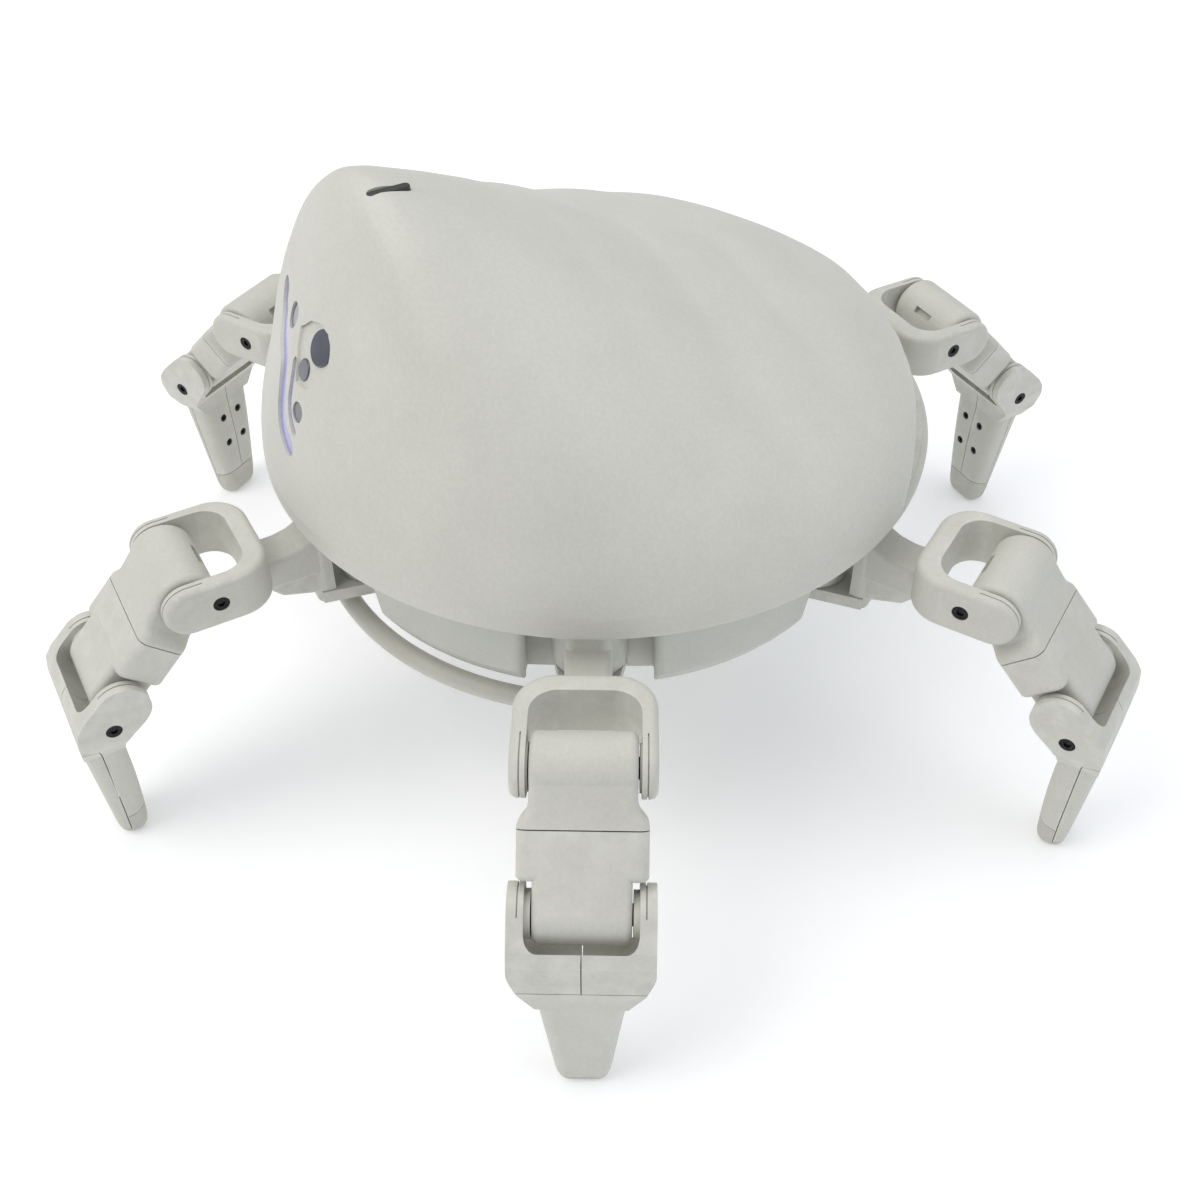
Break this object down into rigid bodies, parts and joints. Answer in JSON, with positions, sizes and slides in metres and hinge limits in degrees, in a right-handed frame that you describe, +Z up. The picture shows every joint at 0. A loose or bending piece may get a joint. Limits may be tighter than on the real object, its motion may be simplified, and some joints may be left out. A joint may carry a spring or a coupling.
{
  "type": "hexapod walking robot",
  "caption": "Hexapod walking robot: round body, smooth asymmetric dome head that turns, and jointed three-axis legs with yokes, shin covers and rubber feet.",
  "frame": {"origin": "on the floor, on the vertical axis of the round body", "axes": "+X to the front of the robot along its front leg, +Y to its left, +Z up"},
  "size_m": [0.374, 0.3428, 0.205],
  "materials": {
    "moulded_case": "fine satin moulded",
    "moulded_shell": "fine satin moulded",
    "screw_black": "black oxide",
    "servo_dark": "fine texture",
    "rubber_foot": "soft matte",
    "battery_wrap": "shrink wrap",
    "circuit_board": "solder mask",
    "bar_plastic": "satin",
    "bearing_plastic": "satin",
    "visor_tint": "tinted gloss",
    "lens_dark": "gloss",
    "button_plastic": "satin"
  },
  "bodies": {
    "chassis": {"base_hull": "moulded_case", "base_cover": "moulded_case", "yaw_servos": "servo_dark", "battery_pack": "battery_wrap", "control_board": "circuit_board", "carry_bar": "bar_plastic", "head_bearing": "bearing_plastic"},
    "head": {"head_shell": "moulded_shell", "head_floor": "bearing_plastic", "visor_lens": "visor_tint", "face_sensors": "lens_dark"},
    "power_button": {"power_button": "button_plastic"},
    "front_coxa": {"front_coxa_bracket": "moulded_case", "front_hip_screws": "screw_black"},
    "front_femur": {"front_femur_case": "moulded_case", "front_femur_servos": "servo_dark"},
    "front_tibia": {"front_tibia_frame": "moulded_case", "front_shin_cover": "moulded_case", "front_foot_pad": "rubber_foot", "front_tibia_screws": "screw_black"},
    "left_front_coxa": {"left_front_coxa_bracket": "moulded_case", "left_front_hip_screws": "screw_black"},
    "left_front_femur": {"left_front_femur_case": "moulded_case", "left_front_femur_servos": "servo_dark"},
    "left_front_tibia": {"left_front_tibia_frame": "moulded_case", "left_front_shin_cover": "moulded_case", "left_front_foot_pad": "rubber_foot", "left_front_tibia_screws": "screw_black"},
    "left_rear_coxa": {"left_rear_coxa_bracket": "moulded_case", "left_rear_hip_screws": "screw_black"},
    "left_rear_femur": {"left_rear_femur_case": "moulded_case", "left_rear_femur_servos": "servo_dark"},
    "left_rear_tibia": {"left_rear_tibia_frame": "moulded_case", "left_rear_shin_cover": "moulded_case", "left_rear_foot_pad": "rubber_foot", "left_rear_tibia_screws": "screw_black"},
    "rear_coxa": {"rear_coxa_bracket": "moulded_case", "rear_hip_screws": "screw_black"},
    "rear_femur": {"rear_femur_case": "moulded_case", "rear_femur_servos": "servo_dark"},
    "rear_tibia": {"rear_tibia_frame": "moulded_case", "rear_shin_cover": "moulded_case", "rear_foot_pad": "rubber_foot", "rear_tibia_screws": "screw_black"},
    "right_rear_coxa": {"right_rear_coxa_bracket": "moulded_case", "right_rear_hip_screws": "screw_black"},
    "right_rear_femur": {"right_rear_femur_case": "moulded_case", "right_rear_femur_servos": "servo_dark"},
    "right_rear_tibia": {"right_rear_tibia_frame": "moulded_case", "right_rear_shin_cover": "moulded_case", "right_rear_foot_pad": "rubber_foot", "right_rear_tibia_screws": "screw_black"},
    "right_front_coxa": {"right_front_coxa_bracket": "moulded_case", "right_front_hip_screws": "screw_black"},
    "right_front_femur": {"right_front_femur_case": "moulded_case", "right_front_femur_servos": "servo_dark"},
    "right_front_tibia": {"right_front_tibia_frame": "moulded_case", "right_front_shin_cover": "moulded_case", "right_front_foot_pad": "rubber_foot", "right_front_tibia_screws": "screw_black"}
  },
  "joints": [
    {"name": "head_yaw", "type": "hinge", "parent": "chassis", "child": "head", "pos_m": [0, 0, 0.11], "axis": [0, 0, 1], "continuous": true},
    {"name": "power_press", "type": "slide", "parent": "head", "child": "power_button", "axis": [0, 0, -1], "range_m": [0, 0.0008], "stiffness_N_per_m": 400},
    {"name": "front_yaw", "type": "hinge", "parent": "chassis", "child": "front_coxa", "pos_m": [0.082, 0, 0.09], "axis": [0, 0, 1], "range_deg": [-35, 35]},
    {"name": "front_hip", "type": "hinge", "parent": "front_coxa", "child": "front_femur", "pos_m": [0.1447, 0, 0.0952], "axis": [0, -1, 0], "range_deg": [-30, 75]},
    {"name": "front_knee", "type": "hinge", "parent": "front_femur", "child": "front_tibia", "pos_m": [0.1714, 0, 0.0674], "axis": [0, -1, 0], "range_deg": [-45, 60]},
    {"name": "left_front_yaw", "type": "hinge", "parent": "chassis", "child": "left_front_coxa", "pos_m": [0.041, 0.07101, 0.09], "axis": [0, 0, 1], "range_deg": [-35, 35]},
    {"name": "left_front_hip", "type": "hinge", "parent": "left_front_coxa", "child": "left_front_femur", "pos_m": [0.07235, 0.12531, 0.0952], "axis": [0.866, -0.5, 0], "range_deg": [-30, 75]},
    {"name": "left_front_knee", "type": "hinge", "parent": "left_front_femur", "child": "left_front_tibia", "pos_m": [0.0857, 0.14844, 0.0674], "axis": [0.866, -0.5, 0], "range_deg": [-45, 60]},
    {"name": "left_rear_yaw", "type": "hinge", "parent": "chassis", "child": "left_rear_coxa", "pos_m": [-0.041, 0.07101, 0.09], "axis": [0, 0, 1], "range_deg": [-35, 35]},
    {"name": "left_rear_hip", "type": "hinge", "parent": "left_rear_coxa", "child": "left_rear_femur", "pos_m": [-0.07235, 0.12531, 0.0952], "axis": [0.866, 0.5, 0], "range_deg": [-30, 75]},
    {"name": "left_rear_knee", "type": "hinge", "parent": "left_rear_femur", "child": "left_rear_tibia", "pos_m": [-0.0857, 0.14844, 0.0674], "axis": [0.866, 0.5, 0], "range_deg": [-45, 60]},
    {"name": "rear_yaw", "type": "hinge", "parent": "chassis", "child": "rear_coxa", "pos_m": [-0.082, 0, 0.09], "axis": [0, 0, 1], "range_deg": [-35, 35]},
    {"name": "rear_hip", "type": "hinge", "parent": "rear_coxa", "child": "rear_femur", "pos_m": [-0.1447, 0, 0.0952], "axis": [0, 1, 0], "range_deg": [-30, 75]},
    {"name": "rear_knee", "type": "hinge", "parent": "rear_femur", "child": "rear_tibia", "pos_m": [-0.1714, 0, 0.0674], "axis": [0, 1, 0], "range_deg": [-45, 60]},
    {"name": "right_rear_yaw", "type": "hinge", "parent": "chassis", "child": "right_rear_coxa", "pos_m": [-0.041, -0.07101, 0.09], "axis": [0, 0, 1], "range_deg": [-35, 35]},
    {"name": "right_rear_hip", "type": "hinge", "parent": "right_rear_coxa", "child": "right_rear_femur", "pos_m": [-0.07235, -0.12531, 0.0952], "axis": [-0.866, 0.5, 0], "range_deg": [-30, 75]},
    {"name": "right_rear_knee", "type": "hinge", "parent": "right_rear_femur", "child": "right_rear_tibia", "pos_m": [-0.0857, -0.14844, 0.0674], "axis": [-0.866, 0.5, 0], "range_deg": [-45, 60]},
    {"name": "right_front_yaw", "type": "hinge", "parent": "chassis", "child": "right_front_coxa", "pos_m": [0.041, -0.07101, 0.09], "axis": [0, 0, 1], "range_deg": [-35, 35]},
    {"name": "right_front_hip", "type": "hinge", "parent": "right_front_coxa", "child": "right_front_femur", "pos_m": [0.07235, -0.12531, 0.0952], "axis": [-0.866, -0.5, 0], "range_deg": [-30, 75]},
    {"name": "right_front_knee", "type": "hinge", "parent": "right_front_femur", "child": "right_front_tibia", "pos_m": [0.0857, -0.14844, 0.0674], "axis": [-0.866, -0.5, 0], "range_deg": [-45, 60]}
  ]
}
